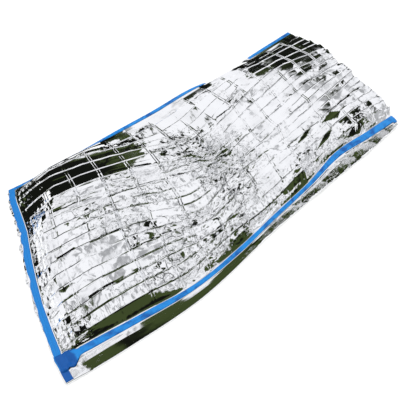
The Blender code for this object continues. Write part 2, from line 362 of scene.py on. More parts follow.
# %% [markdown]
# A blanket like this is packed in a tight grid of folds. Opened out, it keeps them: long folds
# from foot to mouth, and short ones across. The tables list the long folds from near to far,
# each with its distance from the near side and its height at nine stations along the length.

# %% The long folds
STATIONS = [0.12, 0.35, 0.60, 0.85, 1.08, 1.35, 1.58, 1.80, 2.05]

# Places across, in millimetres from the near foot corner, at each station.
PLACES = {
    "near_seam": [62, 18, -16, -10, 12, 33, 63, 49, 38],
    "near_brow": [112, 82, 50, 60, 67, 92, 116, 122, 103],
    "fold_2": [210, 183, 151, 113, 155, 166, 179, 202, 193],
    "fold_3": [326, 292, 244, 177, 216, 244, 256, 272, 289],
    "fold_4": [448, 409, 356, 245, 293, 296, 305, 329, 367],
    "fold_5": [558, 508, 452, 342, 351, 357, 385, 414, 442],
    "fold_6": [649, 605, 543, 459, 415, 437, 460, 493, 508],
    "fold_7": [698, 654, 599, 503, 460, 489, 522, 552, 561],
    "far_crest": [748, 710, 660, 569, 500, 548, 587, 622, 604],
    "fold_9": [801, 782, 731, 652, 569, 603, 661, 692, 664],
    "fold_10": [843, 857, 803, 715, 616, 665, 732, 743, 724],
    "fold_11": [885, 890, 869, 778, 744, 791, 805, 802, 796],
    "far_brow": [925, 912, 905, 889, 881, 885, 868, 872, 880],
    "far_edge": [962, 934, 930, 928, 921, 922, 888, 908, 918],
}
# Heights in millimetres at each station.
HEIGHTS = {
    "near_seam": [30, 40, 31, 28, 29, 34, 42, 38, 29],
    "near_brow": [50, 74, 50, 56, 46, 60, 59, 74, 48],
    "fold_2": [54, 78, 64, 54, 50, 55, 60, 62, 50],
    "fold_3": [52, 80, 71, 57, 47, 57, 61, 58, 48],
    "fold_4": [52, 81, 74, 60, 44, 58, 62, 60, 47],
    "fold_5": [52, 83, 78, 64, 40, 58, 62, 60, 46],
    "fold_6": [52, 85, 82, 70, 42, 58, 62, 61, 46],
    "fold_7": [52, 87, 86, 75, 50, 59, 62, 62, 48],
    "far_crest": [52, 89, 90, 80, 58, 60, 62, 61, 47],
    "fold_9": [47, 72, 74, 67, 59, 60, 62, 60, 44],
    "fold_10": [41, 56, 59, 54, 55, 57, 60, 52, 38],
    "fold_11": [34, 47, 46, 40, 38, 42, 50, 38, 30],
    "far_brow": [22, 42, 36, 11, 9, 14, 34, 12, 10],
    "far_edge": [5] * len(STATIONS),
}
# Each fold's ends in millimetres: the foot tape's middle, the film past that tape, the mouth's
# cut edge, and the height under the foot tape.
ENDS = {
    "near_seam": (11, 3, 2003, 10.5),
    "near_brow": (20, 6, 2035, 9.0),
    "fold_2": (38, 10, 2070, 7.0),
    "fold_3": (63, 14, 2088, 5.4),
    "fold_4": (98, 18, 2090, 4.8),
    "fold_5": (134, 17, 2130, 4.8),
    "fold_6": (166, 20, 2118, 4.8),
    "fold_7": (184, 16, 2135, 4.8),
    "far_crest": (198, 19, 2150, 4.8),
    "fold_9": (212, 15, 2163, 4.8),
    "fold_10": (226, 18, 2155, 4.8),
    "fold_11": (238, 14, 2150, 4.8),
    "far_brow": (250, 12, 2140, 4.8),
    "far_edge": (261.5, 8, 2135, 4.8),
}
print(len(PLACES), "long folds")

# %% [markdown]
# Between stations a fold runs as a smooth curve. A few more helpers do most of the shaping:
# they ease from 0 to 1 with level ends, draw a sharp or a round ridge, and fold a line into a
# zigzag.

# %% Curves and eases
def smooth_curve(x, stations, values):
    """A cubic in each gap, which leaves each station on the slope between its neighbours."""
    stations = np.asarray(stations, float)
    values = np.asarray(values, float)
    slopes = np.gradient(values, stations)
    gap_index = np.clip(np.searchsorted(stations, x) - 1, 0, len(stations) - 2)
    gap = stations[gap_index + 1] - stations[gap_index]
    inside = np.clip(x, stations[0], stations[-1])
    f = (inside - stations[gap_index]) / gap
    start = (1 + 2 * f) * values[gap_index] + f * gap * slopes[gap_index]
    end = (3 - 2 * f) * values[gap_index + 1] - (1 - f) * gap * slopes[gap_index + 1]
    before = np.minimum(x - stations[0], 0) * slopes[0]
    after = np.maximum(x - stations[-1], 0) * slopes[-1]
    return start * (1 - f) ** 2 + end * f**2 + before + after


def within_stations(x):
    """Places along the length, held between the first station and the last."""
    return np.clip(x, STATIONS[0], STATIONS[-1])


def ease(f):
    """Goes from 0 to 1 with level ends: three squares less two cubes."""
    f = np.clip(f, 0, 1)
    return f * f * (3 - 2 * f)


def between(value, start, rise, end, fall):
    """1 between two places and 0 outside: eased in after the start and out before the end."""
    return ease((value - start) / rise) * ease((end - value) / fall)


def pleat(distance, half_width):
    """A sharp ridge with straight flanks: 1 on its line and 0 at the half width."""
    return np.clip(1 - np.abs(distance) / half_width, 0, 1)


def ridge(distance, half_width):
    """A bell, 1 on its line and near 0 at twice the half width."""
    return np.exp(-((distance / half_width) ** 2))


def split_place(place):
    """The whole number below a place, and how far past it the place is."""
    whole = np.floor(place).astype(int)
    return whole, place - whole


def zigzag(value):
    """1 at every whole number, 0 halfway between, and straight from one to the other."""
    return np.abs(value % 1 * 2 - 1)


print("ease at a quarter", float(ease(0.25)))

# %% [markdown]
# Film between two folds is nearly flat, so the base sheet is made of straight strips: a point
# lies on a straight line from one fold to the next. The grid has about 5 mm between points.
# They crowd near each fold, near the middle of each gap, where a further crease may run, and
# near the ends of each cell, so that a narrow crease always has points on its crest and flanks.

# %% Places along each row
TAPE_HALF_WIDTH = 0.020
FOOT_TAPE_WIDTH = 0.0275
FLAP_SHARE = 0.55
CELLS = 15
FOOT_STEPS = 12
CELL_ENDS = (0.0225, 0.045, 0.0675)
STEPS_INSIDE = 21

near_end = np.array((0.0,) + CELL_ENDS)
inside_cell = CELL_ENDS[-1] + (1 - 2 * CELL_ENDS[-1]) * np.arange(1, STEPS_INSIDE) / STEPS_INSIDE
one_cell = np.concatenate([near_end, inside_cell, 1 - near_end[:0:-1]])
foot_share = -np.arange(FOOT_STEPS, 0, -1) / FOOT_STEPS
bag_share = np.concatenate([(cell + one_cell) / CELLS for cell in range(CELLS)] + [[1.0]])
LENGTHS = np.concatenate([foot_share, bag_share])


def row_places(lengths, middle, flap, mouth):
    """Along one row: below 0 runs back over the foot tape and its flap, above 0 to the mouth."""
    inner = middle + TAPE_HALF_WIDTH
    back = FOOT_TAPE_WIDTH + FLAP_SHARE * flap
    return np.where(lengths < 0, inner + lengths * back, inner + lengths * (mouth - inner))


print("columns", len(LENGTHS))

# %% [markdown]
# Each long fold becomes a line of points. It starts low under the foot tape, climbs a ramp,
# longer on the far half, follows its heights, and drops a little just before the mouth.

# %% The lines of the long folds
NEAR_TAPE_HALF = [0.018, 0.017, 0.0115, 0.0115, 0.011, 0.011, 0.0145, 0.017, 0.017]
FOOT_RAMP_START = 0.004
FOOT_RAMP_LENGTH = 0.075
FAR_RAMP_MORE = 0.105
FAR_RAMP_FROM_FOLD = 6
FAR_RAMP_OVER = 3
STRAIGHT_SHARE = 0.75
MOUTH_DROP = 0.008
MOUTH_DROP_LENGTH = 0.09
LOWEST_FREE_FILM = 0.008
TAPE_SLOPE_RISE = 0.002
WANDER_KNOTS = 400
WANDER_START = 20
CREASE_WANDER = 0.0025
CREASE_WANDER_SPACING = 0.045


def fold_line(name, lengths):
    """One long fold as points: its curve across, its height, low under the foot tape."""
    middle, flap, mouth, low = (value / 1000 for value in ENDS[name])
    x = row_places(lengths, middle, flap, mouth)
    y = smooth_curve(x, STATIONS, np.array(PLACES[name]) / 1000)
    full = smooth_curve(within_stations(x), STATIONS, HEIGHTS[name]) / 1000
    far_half = ease((list(ENDS).index(name) - FAR_RAMP_FROM_FOLD) / FAR_RAMP_OVER)
    length = FOOT_RAMP_LENGTH + FAR_RAMP_MORE * far_half
    climb = (x - (middle + TAPE_HALF_WIDTH) - FOOT_RAMP_START) / length
    rise = STRAIGHT_SHARE * np.clip(climb, 0, 1) + (1 - STRAIGHT_SHARE) * ease(climb)
    z = low + (full - low) * rise
    if name not in ("near_seam", "far_edge"):
        fall = MOUTH_DROP * ease((x - (mouth - MOUTH_DROP_LENGTH)) / MOUTH_DROP_LENGTH)
        z = z - np.minimum(fall, np.maximum(z - LOWEST_FREE_FILM, 0))
    return np.stack([x, y, z], axis=1), rise


def all_fold_lines(lengths):
    """The long folds near to far, with the near tape's inner edge after the near seam."""
    lines = []
    for name in PLACES:
        points, rise = fold_line(name, lengths)
        lines.append(points)
        if name == "near_seam":
            half = smooth_curve(within_stations(points[:, 0]), STATIONS, NEAR_TAPE_HALF)
            lines.append(points + np.stack([0 * half, half, TAPE_SLOPE_RISE * rise], axis=1))
    return np.array(lines)


def wander(x, spacing, seed):
    """A line that wanders between -1 and 1, straight from one random knot to the next."""
    knots = np.random.default_rng(seed).uniform(-1, 1, WANDER_KNOTS)
    first, f = split_place(x / spacing + WANDER_START)
    return knots[first % WANDER_KNOTS] * (1 - f) + knots[(first + 1) % WANDER_KNOTS] * f


LINES = all_fold_lines(LENGTHS)
LAST_LINE = len(LINES) - 1
for number in range(3, LAST_LINE - 1):
    bends = wander(LINES[number, :, 0], CREASE_WANDER_SPACING, number)
    LINES[number, :, 1] += CREASE_WANDER * bends
print("lines", len(LINES), "highest point", round(float(LINES[:, :, 2].max()), 3))

# %% [markdown]
# The strips between the lines are cut into rows. On each side of a line, and of a gap's middle,
# two rows lie close by, so that a crease there has a crest and two feet.

# %% The base sheet
NARROWEST_GAP = 0.004
CREASE_RING = (0.0021, 0.0044)
HALF_GAP_FOR_RING = 0.0104
ROWS_BETWEEN = 3
SEAM_ROWS = 4


def gap_width(line):
    """The distance across from a line to the next, for every place along them."""
    return np.maximum(LINES[line + 1, :, 1] - LINES[line, :, 1], NARROWEST_GAP)


def gap_shares(gap):
    """Shares of one gap: on a crease, on its flanks, evenly on, and again past the middle."""
    half = gap / 2
    squeeze = np.minimum(1.0, half / HALF_GAP_FOR_RING)
    ring = [0 * half] + [distance * squeeze for distance in CREASE_RING]
    spare = half - 2 * ring[-1]
    even = [ring[-1] + spare * step / (ROWS_BETWEEN + 1) for step in range(1, ROWS_BETWEEN + 1)]
    first_half = ring + even + [half - distance for distance in ring[:0:-1]]
    rows = first_half + [half + distance for distance in first_half]
    return np.array(rows) / gap


def base_sheet():
    """Straight strips between neighbouring lines, with each row's line number beside it."""
    rows, numbers = [], []
    for line in range(LAST_LINE):
        taped = [np.full(len(LENGTHS), step / SEAM_ROWS) for step in range(SEAM_ROWS)]
        for f in taped if line == 0 else gap_shares(gap_width(line)):
            rows.append(LINES[line] * (1 - f[:, None]) + LINES[line + 1] * f[:, None])
            numbers.append(line + f)
    rows.append(LINES[LAST_LINE])
    numbers.append(np.full(len(LENGTHS), float(LAST_LINE)))
    return np.array(rows), np.array(numbers)


base, WIDTHS = base_sheet()
ROW_PLACES = WIDTHS.mean(axis=1)
GAP_ROWS = len(gap_shares(gap_width(1)))
print("base sheet", base.shape[0], "by", base.shape[1], "points")

# %% [markdown]
# Crumpled foil is a patchwork of small flat facets that meet in straight creases. The function
# below makes one: every cell of a jittered grid owns a shallow dome with its own tilt, and the
# sheet follows whichever dome is highest. Two domes meet in a straight line, as facets do.

# %% Facets
DOME = 0.60
TABLE_SIDE = 61
FAR_FROM_ZERO = 500
FOLD_DIRECTIONS = (32.0, -41.0, 78.0)
FOLD_BEND = 0.45
FOLD_BEND_SPACING = 3.7
FOLD_SPREAD = 0.35


def facets(x, y, size, seed):
    """The highest of the nearby tilted domes, in units of the facet size."""
    made = np.random.default_rng(seed)
    jitter = made.uniform(-0.4, 0.4, (2, TABLE_SIDE, TABLE_SIDE))
    tilt = made.uniform(-1.0, 1.0, (2, TABLE_SIDE, TABLE_SIDE))
    column, across = split_place(x / size + FAR_FROM_ZERO)
    row, up = split_place(y / size + FAR_FROM_ZERO)
    highest = np.full(x.shape, -np.inf)
    for step_x in range(-2, 3):
        for step_y in range(-2, 3):
            i = (column + step_x) % TABLE_SIDE
            j = (row + step_y) % TABLE_SIDE
            from_x = across - (step_x + 0.5 + jitter[0, i, j])
            from_y = up - (step_y + 0.5 + jitter[1, i, j])
            fall = DOME * (from_x**2 + from_y**2)
            highest = np.maximum(highest, tilt[0, i, j] * from_x + tilt[1, i, j] * from_y - fall)
    return highest * size


def crossing_folds(x, y, spacing, height, seed):
    """Random straight folds in three directions, added up, so that they leave flat facets."""
    total = np.zeros(x.shape)
    for number, degrees in enumerate(FOLD_DIRECTIONS):
        turn = math.radians(degrees)
        along = x * math.cos(turn) + y * math.sin(turn)
        across = y * math.cos(turn) - x * math.sin(turn)
        own_seed = seed + 10 * number
        bent = across + FOLD_BEND * spacing * wander(along, FOLD_BEND_SPACING * spacing, own_seed)
        total += height * wander(bent, spacing * (1 + FOLD_SPREAD * number), own_seed + 1)
    return total


span = float(np.ptp(facets(base[:, :, 0], base[:, :, 1], 0.05, 3)))
print("facets of 50 mm span", round(span * 1000, 1), "mm before scaling")

# %% [markdown]
# Each long fold leaves a narrow ridge. Its height changes from cell to cell, and it wanders a
# few millimetres, because film never creases twice in quite the same place. Wide gaps also
# have a middle crease. Across the sheet the folds come in pairs about 12 mm apart.

# %% The fold grid's creases
CREASE_HALF_WIDTH = 0.0044
CREASE_HEIGHT = 0.0022
CREASE_STRENGTHS = (0.45, 1.45)
STEADY_SHARE = 0.8
SPLIT_FROM = 0.066
SPLIT_OVER = 0.026
PAIR_HALF_GAP = 0.006
PAIR_HALF_WIDTH = 0.0030
PAIR_HEIGHT = 0.0011
CROSS_FADE = 0.25
BAG_LENGTH = 2.0

# Strong creases across: which cell end, from which line, to which line, and the height in mm.
CROSS_CREASES = [
    (1, 3, 5, 1.0),
    (2, 8, 10, 2.0),
    (3, 2.5, 6.2, 2.2),
    (3, 7.8, 9.6, 1.8),
    (4, 1.8, 3.6, 2.0),
    (4, 6.2, 10, 2.0),
    (5, 4.2, 6.6, 1.2),
    (5, 8, 10, 1.6),
    (6, 9.4, 12.4, 2.0),
    (7, 6, 8.5, 1.0),
    (8, 3, 6, 1.2),
    (10, 10, 12, 1.6),
    (11, 9.5, 12.5, 1.4),
    (12, 5.6, 11.6, 2.0),
    (13, 2.5, 5.5, 1.2),
    (14, 9, 12, 1.4),
]


def cell_places(lengths):
    """How many cells lie between the foot tape and each place along the length."""
    return np.clip(lengths, 0, 1) * CELLS


def crease_strength(line, lengths, seed):
    """A random strength for each cell, nearly even inside it, eased to the next at its end."""
    knots = np.random.default_rng(seed + 7 * line).uniform(*CREASE_STRENGTHS, CELLS + 2)
    first, past = split_place(cell_places(lengths))
    f = ease((past - STEADY_SHARE) / 0.2)
    return knots[first] * (1 - f) + knots[first + 1] * f


def long_creases(widths, lengths):
    """A ridge along each line, and one along the middle of each wide gap."""
    total = np.zeros(widths.shape)
    for line in range(2, LAST_LINE):
        before = gap_width(line - 1)
        away = widths - line
        distance = np.where(away < 0, away * before, away * gap_width(line))
        height = CREASE_HEIGHT * crease_strength(line, lengths, 100)
        total += height * pleat(distance, CREASE_HALF_WIDTH)
        split = ease((before - SPLIT_FROM) / SPLIT_OVER)
        height = CREASE_HEIGHT * split * crease_strength(line, lengths, 300)
        total += height * pleat((away + 0.5) * before, CREASE_HALF_WIDTH)
    return total


def pair(cells, at):
    """Two ridges, one on each side of a cell's end."""
    length = (cells - at) * BAG_LENGTH / CELLS
    return pleat(np.abs(length) - PAIR_HALF_GAP, PAIR_HALF_WIDTH)


def cross_creases(widths, lengths):
    """Faint pairs at every cell's end, and strong ones where the table has them."""
    cells = cell_places(lengths)[None, :]
    total = np.zeros(widths.shape)
    for at in range(1, CELLS):
        weight = np.clip(0.5 + 0.9 * wander(widths, 1.0, 400 + at), 0, 1.4)
        total += PAIR_HEIGHT * weight * pair(cells, at)
    for at, first, last, height in CROSS_CREASES:
        share = between(widths, first, CROSS_FADE, last, CROSS_FADE)
        total += height / 1000 * share * pair(cells, at)
    return total


print("creases: long", LAST_LINE - 2, "across", len(CROSS_CREASES))

# %% [markdown]
# Each cell of the fold grid also sits at its own slight tilt and puffs up a little, which is
# why one cell mirrors the white softbox and its neighbour something greyer.

# %% Cells that tilt and puff
PUFF = 0.0014
TILT = 0.0036
SPLIT_PUFF = 0.6


def cells_tilt(widths, lengths):
    """Random heights at the corners of the cells, joined straight across and along."""
    corners = np.random.default_rng(21).uniform(-1, 1, (2 * len(LINES) + 2, CELLS + 2))
    i, f = split_place(2 * widths)
    j, g = split_place(cell_places(lengths)[None, :])
    near = corners[i, j] * (1 - g) + corners[i, j + 1] * g
    far = corners[i + 1, j] * (1 - g) + corners[i + 1, j + 1] * g
    return TILT * (near * (1 - f) + far * f)


def cells_puff(widths, lengths):
    """A low pillow in each cell: a parabola each way, two side by side where the gap is wide."""
    line = widths % 1
    half = (2 * line) % 1
    cells = cell_places(lengths)[None, :] % 1
    gaps = np.abs(np.diff(LINES[:, :, 1], axis=0))
    first = np.minimum(widths.astype(int), LAST_LINE - 1)
    split = ease((gaps[first, np.arange(len(lengths))[None, :]] - SPLIT_FROM) / SPLIT_OVER)
    one = 4 * line * (1 - line)
    two = SPLIT_PUFF * 4 * half * (1 - half)
    inside = 4 * cells * (1 - cells)
    return PUFF * np.sqrt(np.maximum(one * (1 - split) + two * split, 0) * inside)


def cell_wear(widths, lengths):
    """One random share for each cell: some cells stay smooth while their neighbours crease."""
    table = np.random.default_rng(33).uniform(0, 1, (LAST_LINE + 1, CELLS + 1))
    across = widths.astype(int)
    return table[across, np.floor(cell_places(lengths)).astype(int)[None, :] + 0 * across]


print("pillows up to", round(float(cells_puff(WIDTHS, LENGTHS).max()) * 1000, 2), "mm")

# %% [markdown]
# Some parts of the sheet were handled more than others. The table gives the crumpled places,
# each with its middle, its half length and half width, and how strongly it is crumpled. The
# star in the middle, where the folds from both ends run together, gets ridges of its own.

# %% Crumpled places
CRUMPLED = [
    (1.09, 0.44, 0.16, 0.16, 1.00),
    (1.02, 0.62, 0.13, 0.10, 0.70),
    (1.17, 0.34, 0.10, 0.08, 0.80),
    (1.00, 0.20, 0.16, 0.10, 0.85),
    (0.55, 0.46, 0.16, 0.06, 0.50),
    (0.73, 0.44, 0.13, 0.09, 0.62),
    (0.91, 0.60, 0.07, 0.05, 0.62),
    (0.53, 0.12, 0.12, 0.06, 0.62),
    (0.14, 0.15, 0.07, 0.09, 1.00),
    (0.085, 0.32, 0.045, 0.25, 0.55),
    (0.70, 0.15, 0.10, 0.06, 0.70),
    (1.50, 0.12, 0.30, 0.07, 0.60),
    (1.90, 0.16, 0.14, 0.08, 0.35),
    (1.62, 0.62, 0.10, 0.06, 0.60),
    (0.80, 0.80, 0.16, 0.08, 0.50),
    (0.24, 0.72, 0.06, 0.12, 0.60),
    (0.80, 0.05, 0.26, 0.05, 0.90),
    (1.46, 0.66, 0.06, 0.06, 0.80),
    (1.95, 0.56, 0.10, 0.05, 0.50),
]
STAR_PLACE = (1.09, 0.43)
STAR_ARMS = 13
STAR_HEIGHT = 0.0060
STAR_CALM_MIDDLE = 0.07
STAR_REACH = 0.15


def crumpled_share(x, y):
    """0 on calm film, rising to 1 in the crumpled places."""
    calm = np.ones(x.shape)
    for at_x, at_y, half_x, half_y, strength in CRUMPLED:
        calm *= 1 - strength * ridge(np.hypot((x - at_x) / half_x, (y - at_y) / half_y), 1.0)
    return 1 - calm


def star(x, y):
    """Ridges that run out from one place, folded like a fan, and fade with the distance."""
    away = np.hypot(x - STAR_PLACE[0], y - STAR_PLACE[1])
    turn = np.arctan2(y - STAR_PLACE[1], x - STAR_PLACE[0])
    fan = STAR_ARMS * turn / (2 * np.pi) + 0.35 * np.sin(5 * turn) + 0.5 * wander(away, 0.04, 9)
    fold = zigzag(fan) * 2 - 1
    return STAR_HEIGHT * fold * ease(away / STAR_CALM_MIDDLE) * ridge(away, STAR_REACH)


share = crumpled_share(base[:, :, 0], base[:, :, 1])
print("crumpled share of the sheet", round(float(share.mean()), 2))

# %% [markdown]
# The last forms are single strong creases and tucks, placed where the photograph has
# its long dark lines and its olive facets. Each is a ridge with straight flanks of its own
# widths: a short far flank mirrors the dark far side, a broad steep near flank the near side.

# %% Creases and tucks
# The crest's two ends along and across, the near flank's width, the far flank's width, and
# the height, all in millimetres.
TUCKS = [
    (1450, 160, 1690, 196, 24, 50, 7),
    (1420, 240, 1630, 256, 20, 50, 6),
    (1660, 266, 1820, 276, 30, 60, 7),
    (1700, 138, 1880, 118, 30, 60, 7),
    (1390, 150, 1480, 130, 24, 60, 13),
    (1190, 85, 1370, 95, 30, 80, 18),
    (750, 90, 1060, 85, 30, 80, 15),
    (210, 438, 340, 405, 50, 16, 6),
    (180, 310, 310, 292, 50, 14, 6),
    (230, 196, 350, 178, 45, 18, 8),
    (460, 278, 780, 196, 22, 10, 6),
    (300, 643, 520, 585, 60, 8, 3),
    (500, 588, 950, 425, 60, 8, 3),
    (650, 662, 1020, 490, 60, 10, 3),
    (640, 330, 880, 240, 50, 8, 3),
    (180, 205, 560, 165, 50, 7, 3),
    (780, 105, 1120, 150, 50, 8, 3),
    (1260, 590, 1520, 655, 50, 7, 3),
    (1500, 650, 1820, 702, 50, 7, 3),
    (1240, 645, 1620, 755, 50, 6, 2),
    (1180, 438, 1380, 440, 60, 16, 7),
    (1240, 610, 1490, 628, 50, 14, 6),
    (1210, 340, 1400, 346, 50, 9, 4),
    (1260, 235, 1500, 231, 50, 9, 4),
    (1170, 168, 1430, 176, 30, 12, 6),
    (830, 474, 990, 407, 50, 14, 6),
    (880, 541, 1040, 472, 50, 9, 4),
    (980, 658, 1130, 601, 50, 10, 4),
    (1360, 440, 1920, 512, 50, 7, 3),
    (1440, 378, 1720, 412, 50, 7, 3),
    (1680, 262, 2070, 300, 50, 8, 4),
    (1750, 200, 2080, 200, 50, 8, 3),
    (1390, 548, 1500, 592, 30, 12, 3),
]
TUCK_BEND = 0.003
TUCK_BEND_SPACING = 0.045
TUCK_FADE = 0.7


def beside_line(x, y, x0, y0, x1, y1):
    """Each point's share of the way along a straight line, its distance across, the length."""
    length = math.hypot(x1 - x0, y1 - y0)
    along = ((x - x0) * (x1 - x0) + (y - y0) * (y1 - y0)) / length**2
    across = ((y - y0) * (x1 - x0) - (x - x0) * (y1 - y0)) / length
    return along, across, length


def tucks(x, y):
    """The sum of the ridges: straight up the near flank, down the far one, lower to the ends."""
    total = np.zeros(x.shape)
    for row in TUCKS:
        x0, y0, x1, y1, near_width, far_width, height = (value / 1000 for value in row)
        along, across, length = beside_line(x, y, x0, y0, x1, y1)
        across = across + TUCK_BEND * wander(along * length, TUCK_BEND_SPACING, int(1000 * x0))
        fade = np.clip(4 * along * (1 - along), 0, 1) ** TUCK_FADE
        near = np.clip(1 + across / near_width, 0, 1)
        far = np.clip(1 - across / far_width, 0, 1)
        total += height * fade * near * far
    return total


print("tucks", len(TUCKS))

# %% [markdown]
# Some facets on the near side are so steep that they mirror the olive part of the room. A grid
# of this size can't hold their sharp outlines, so the mesh carries a steepness for each point,
# and the finish tips the film there.

# %% Single steep facets
# The pointed end along and across, the blunt end, and the half width there, all in
# millimetres, and then how steep the facet is.
STEEP_FACETS = [
    (1650, 243, 1802, 238, 33, 1.0),
    (1675, 94, 1815, 106, 26, 0.55),
    (1430, 220, 1592, 256, 12, 1.0),
    (1475, 130, 1672, 184, 16, 1.0),
    (1385, 112, 1290, 104, 14, 1.0),
    (840, 120, 980, 112, 12, 1.0),
]
WEDGE_WIDENING = 1.4
WEDGE_SLANT = 0.4
WEDGE_EDGE = 0.004
WEDGE_END = 0.006


def steep_facets(x, y):
    """The steepness inside each wedge, 0 outside; a wedge widens evenly from its point."""
    inside = np.zeros(x.shape)
    for *places, steepness in STEEP_FACETS:
        x0, y0, x1, y1, half_width = (value / 1000 for value in places)
        along, across, length = beside_line(x, y, x0, y0, x1, y1)
        aside = np.abs(across)
        widening = half_width * np.clip(WEDGE_WIDENING * along, 0, 1)
        blunt_end = ease((1 - along - WEDGE_SLANT * aside / half_width) * length / WEDGE_END)
        within = ease((widening - aside) / WEDGE_EDGE) * blunt_end * (along > 0)
        inside = np.maximum(inside, steepness * within)
    return inside


print("steep facets", len(STEEP_FACETS))

# %% [markdown]
# Tape never goes on without gathering the film a little. Short pleats start at the near tape
# and run across the film, and long narrow streaks run beside the foot tape, up the ramp.

# %% Pleats and streaks beside the tapes
PLEAT_SPACING = 0.027
PLEAT_HEIGHT = 0.0038
PLEAT_LEAN = 0.018
PLEAT_PLACES = [0.0, 0.10, 0.45, 0.95, 1.20, 2.00, 2.10]
PLEAT_STRENGTHS = [1.0, 1.0, 0.25, 0.35, 1.0, 0.2, 0.1]
PLEAT_ROWS = (1.0, 0.25, 3.4, 2.0)
STREAK_SPACING = 0.022
STREAK_HEIGHT = 0.0030
STREAK_REACH = (0.004, 0.012, 0.13, 0.06)


def uneven(line, spacing, seed):
    """A share from 0.4 to 1 that changes at random along a line."""
    return 0.4 + 0.6 * np.abs(wander(line, spacing, seed))


def tape_pleats(x, widths):
    """A leaning zigzag along the length that fades out over the first gaps."""
    spread = np.interp(x, PLEAT_PLACES, PLEAT_STRENGTHS)
    fold = zigzag((x - PLEAT_LEAN * widths) / PLEAT_SPACING + 0.35 * wander(x, 0.06, 61))
    fade = between(widths, *PLEAT_ROWS)
    return PLEAT_HEIGHT * spread * uneven(x, 0.03, 62) * fade * fold


def foot_streaks(x, y, lengths):
    """A zigzag up the ramp whose lines wander across the width."""
    past = (lengths * BAG_LENGTH)[None, :] + 0 * x
    lines = past + 0.010 * wander(y, 0.05, 63) + 0.004 * wander(y, 0.013, 64)
    fade = between(past, *STREAK_REACH)
    return STREAK_HEIGHT * fade * zigzag(lines / STREAK_SPACING) * uneven(y, 0.06, 65)


print("pleats every", PLEAT_SPACING, "m, streaks every", STREAK_SPACING, "m")

# %% [markdown]
# All of it is added to the base sheet. Near the tapes the film is held flat, so the small
# forms fade out there. The mouth's cut edge is not straight: each strip ends in a slanted
# step, and the film past the foot tape shows as small scallops.

# %% The uneven ends
JAG_DEPTH = 0.016
JAG_STEP = 1.03
JAG_WANDER = 0.006
JAG_FROM = 0.972
JAGGED_ROWS = (0.6, 0.8, 13.4, 0.6)
SCALLOP_SHARE = 0.9


def flap_share(widths):
    """For each row, how much of the film behind the foot tape's inner edge the tape covers."""
    flaps = [ENDS[name][1] / 1000 for name in ["near_seam"] + list(ENDS)]
    flap = FLAP_SHARE * np.interp(widths, np.arange(len(flaps)), flaps)
    return FOOT_TAPE_WIDTH / (FOOT_TAPE_WIDTH + flap), flap


def uneven_ends(points, widths, lengths):
    """The mouth's edge steps in and out, and the flap past the foot tape is scalloped."""
    jag = JAG_DEPTH * (widths * JAG_STEP % 1 - 0.5) + JAG_WANDER * wander(widths, 0.35, 77)
    jag = jag * between(widths, *JAGGED_ROWS)
    at_mouth = ease((lengths - JAG_FROM) / (1 - JAG_FROM))[None, :]
    under_tape, flap = flap_share(widths)
    scallop = SCALLOP_SHARE * flap * wander(widths, 0.30, 78)
    past = (-lengths[None, :] - under_tape[:, None]) / (1 - under_tape[:, None])
    points[:, :, 0] += jag[:, None] * at_mouth + scallop[:, None] * np.clip(past, 0, 1)
    return points


print("flap under the tape", round(float(flap_share(ROW_PLACES)[0].mean()), 2))

# %% [markdown]
# How much of each small form counts depends on the place. The worn parts take the most, the
# middle left has whole cells that are creased, and both far sides and the right stay crisp.

# %% The upper film's surface
FREE_ROWS = (1.02, 0.3, 12.9, 0.5)
FREE_FROM_FOOT = (0.006, 0.03)
MID_LEFT = (0.28, 0.2, 1.15, 0.2)
FAR_LEFT_ROWS = (8.7, 0.4, 12.2, 0.6)
FAR_RIGHT_ROWS = (9.2, 0.5, 12.5, 0.4)
CRISP_FAR = 0.85
CRISP_RIGHT = 0.45
COARSE_FACET = 0.055
COARSE_SLOPE = 0.07
FINE_FACET = 0.012
FINE_SLOPE = 0.20
BROAD_FOLD = (0.048, 0.0066)
CLOSE_FOLD = (0.018, 0.0023)
RAMP_CRINKLE = 0.45
BESIDE_TAPE = (0.0, 0.004, 0.045, 0.02)
FLAP_CRINKLE = 0.7


def worn_share(x, y, widths, lengths):
    """The larger of the crumpled places and each cell's own wear."""
    wear = cell_wear(widths, lengths)
    mid_left = between(x, *MID_LEFT) * ease((widths - 1.9) / 0.4)
    crease_wear_and_shade = 0.08 + 0.10 * wear + 0.55 * mid_left * ease((wear - 0.50) / 0.15)
    return np.maximum(crumpled_share(x, y), crease_wear_and_shade)


def smoothness(x, widths):
    """1 where small forms count in full, less on the far sides and on the right."""
    far_left = between(widths, *FAR_LEFT_ROWS) * ease((0.95 - x) / 0.15)
    far_right = between(widths, *FAR_RIGHT_ROWS) * ease((x - 1.60) / 0.12)
    right_side = ease((x - 1.25) / 0.25) * ease((widths - 3.6) / 0.8)
    far = CRISP_FAR * np.maximum(far_left, far_right)
    return 1 - np.maximum(far, CRISP_RIGHT * right_side)


